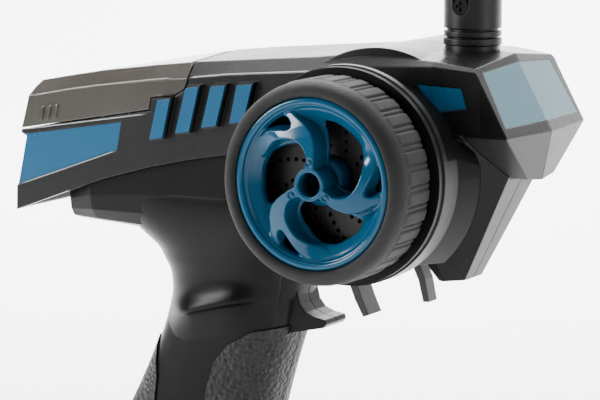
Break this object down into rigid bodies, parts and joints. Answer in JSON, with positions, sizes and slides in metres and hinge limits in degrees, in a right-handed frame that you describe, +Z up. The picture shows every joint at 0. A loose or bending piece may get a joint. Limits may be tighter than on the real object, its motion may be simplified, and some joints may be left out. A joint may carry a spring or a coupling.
{
  "type": "pistol-grip radio transmitter",
  "caption": "Pistol-grip radio transmitter for model cars with a foam-tyred steering wheel, forked trigger, hinged smoked lid over the trim controls and a folding antenna.",
  "frame": {"origin": "centre of the flat underside that the base stands on", "axes": "+X forwards to the nose, +Y to the left, +Z up; the steering wheel is on the right-hand side, at -Y"},
  "size_m": [0.1662, 0.1055, 0.312],
  "materials": {
    "body_plastic": "satin moulded, fine texture",
    "blue_inlay": "semi-gloss blue",
    "label_plate": "satin pale blue-grey",
    "smoked_clear": "smoked clear plastic",
    "pod_gloss": "glossy black",
    "wheel_blue": "glossy teal blue",
    "foam": "speckled foam rubber",
    "grip_rubber": "pebbled rubber",
    "dark_plastic": "satin black",
    "antenna_plastic": "satin black",
    "control_grey": "satin grey",
    "inner_plastic": "plain moulded",
    "screw_steel": "black-zinc steel",
    "pin_steel": "ground steel",
    "spring_steel": "spring wire",
    "bush_brass": "sintered brass",
    "contact_plate": "nickel plate",
    "cell_wrap": "plastic-wrapped cell",
    "circuit_board": "green solder mask",
    "shield_can": "tinned can",
    "led_lens": "tinted lens"
  },
  "bodies": {
    "case": {"head_shell_right": "body_plastic", "head_shell_left": "body_plastic", "grip_shell_right": "body_plastic", "grip_shell_left": "body_plastic", "base_housing": "body_plastic", "rubber_feet": "grip_rubber", "battery_tray": "inner_plastic", "battery_cells": "cell_wrap", "battery_contacts": "contact_plate", "base_screws": "screw_steel", "housing_screws": "screw_steel", "side_panel_right": "blue_inlay", "side_panel_left": "blue_inlay", "front_insert_right": "blue_inlay", "front_insert_left": "blue_inlay", "slat_inlays_right": "blue_inlay", "slat_inlays_left": "blue_inlay", "nose_label_plate": "label_plate", "grip_pad_right": "grip_rubber", "grip_pad_left": "grip_rubber", "palm_pad": "grip_rubber", "wheel_pod": "pod_gloss", "shaft_bush": "bush_brass", "steering_sensor": "inner_plastic", "sensor_bracket": "inner_plastic", "steering_spring": "spring_steel", "trigger_bracket": "inner_plastic", "trigger_shaft": "pin_steel", "trigger_spring": "spring_steel", "trigger_sensor": "inner_plastic", "antenna_collar": "dark_plastic", "control_panel": "dark_plastic", "control_pcb": "circuit_board", "indicator_leds": "led_lens", "main_pcb": "circuit_board", "rf_module": "shield_can"},
    "steering_wheel": {"wheel_hub": "wheel_blue", "foam_tyre": "foam", "brake_disc_insert": "dark_plastic", "wheel_screw": "screw_steel", "wheel_shaft": "pin_steel"},
    "trigger": {"trigger_lever": "dark_plastic"},
    "lid": {"rear_lid": "smoked_clear", "lid_hinge_pins": "pin_steel"},
    "antenna_base": {"antenna_swivel": "antenna_plastic", "antenna_pivot_screw": "screw_steel"},
    "mast": {"antenna_mast": "antenna_plastic"},
    "door": {"battery_door": "body_plastic"},
    "steering_trim": {"steering_trim_knob": "control_grey"},
    "throttle_trim": {"throttle_trim_knob": "control_grey"},
    "rate_dial": {"rate_knob": "control_grey"},
    "reverse_right": {"reverse_switch_right": "control_grey"},
    "reverse_left": {"reverse_switch_left": "control_grey"},
    "power": {"power_switch": "control_grey"},
    "bind": {"bind_button": "control_grey"}
  },
  "joints": [
    {"name": "wheel_steer", "type": "hinge", "parent": "case", "child": "steering_wheel", "pos_m": [0.066, -0.055, 0.16], "axis": [0, 1, 0], "range_deg": [-35, 35], "stiffness_Nm_per_rad": 0.06},
    {"name": "trigger_pull", "type": "hinge", "parent": "case", "child": "trigger", "pos_m": [0.052, 0, 0.148], "axis": [0, 1, 0], "range_deg": [-10, 25], "stiffness_Nm_per_rad": 0.08},
    {"name": "lid_open", "type": "hinge", "parent": "case", "child": "lid", "pos_m": [0, 0, 0.1844], "axis": [0, 1, 0], "range_deg": [0, 90]},
    {"name": "antenna_swivel", "type": "hinge", "parent": "case", "child": "antenna_base", "pos_m": [0.0827, 0, 0.19], "axis": [0, 0, 1], "range_deg": [-90, 90]},
    {"name": "antenna_tilt", "type": "hinge", "parent": "antenna_base", "child": "mast", "pos_m": [0.0827, 0, 0.205], "axis": [0, -1, 0], "range_deg": [0, 90]},
    {"name": "door_slide", "type": "slide", "parent": "case", "child": "door", "axis": [1, 0, 0], "range_m": [0, 0.095]},
    {"name": "steering_trim_turn", "type": "hinge", "parent": "case", "child": "steering_trim", "pos_m": [-0.04218, -0.013, 0.16447], "axis": [-0.1874, 0, 0.9823], "range_deg": [-140, 140]},
    {"name": "throttle_trim_turn", "type": "hinge", "parent": "case", "child": "throttle_trim", "pos_m": [-0.04218, 0.013, 0.16447], "axis": [-0.1874, 0, 0.9823], "range_deg": [-140, 140]},
    {"name": "rate_turn", "type": "hinge", "parent": "case", "child": "rate_dial", "pos_m": [-0.02941, 0, 0.16691], "axis": [-0.1874, 0, 0.9823], "range_deg": [-140, 140]},
    {"name": "steering_reverse", "type": "slide", "parent": "case", "child": "reverse_right", "axis": [0, 1, 0], "range_m": [0, 0.003]},
    {"name": "throttle_reverse", "type": "slide", "parent": "case", "child": "reverse_left", "axis": [0, -1, 0], "range_m": [0, 0.003]},
    {"name": "power_slide", "type": "slide", "parent": "case", "child": "power", "axis": [-0.9823, 0, -0.1874], "range_m": [0, 0.004]},
    {"name": "bind_press", "type": "slide", "parent": "case", "child": "bind", "axis": [0.1874, 0, -0.9823], "range_m": [0, 0.0008], "stiffness_N_per_m": 300}
  ]
}
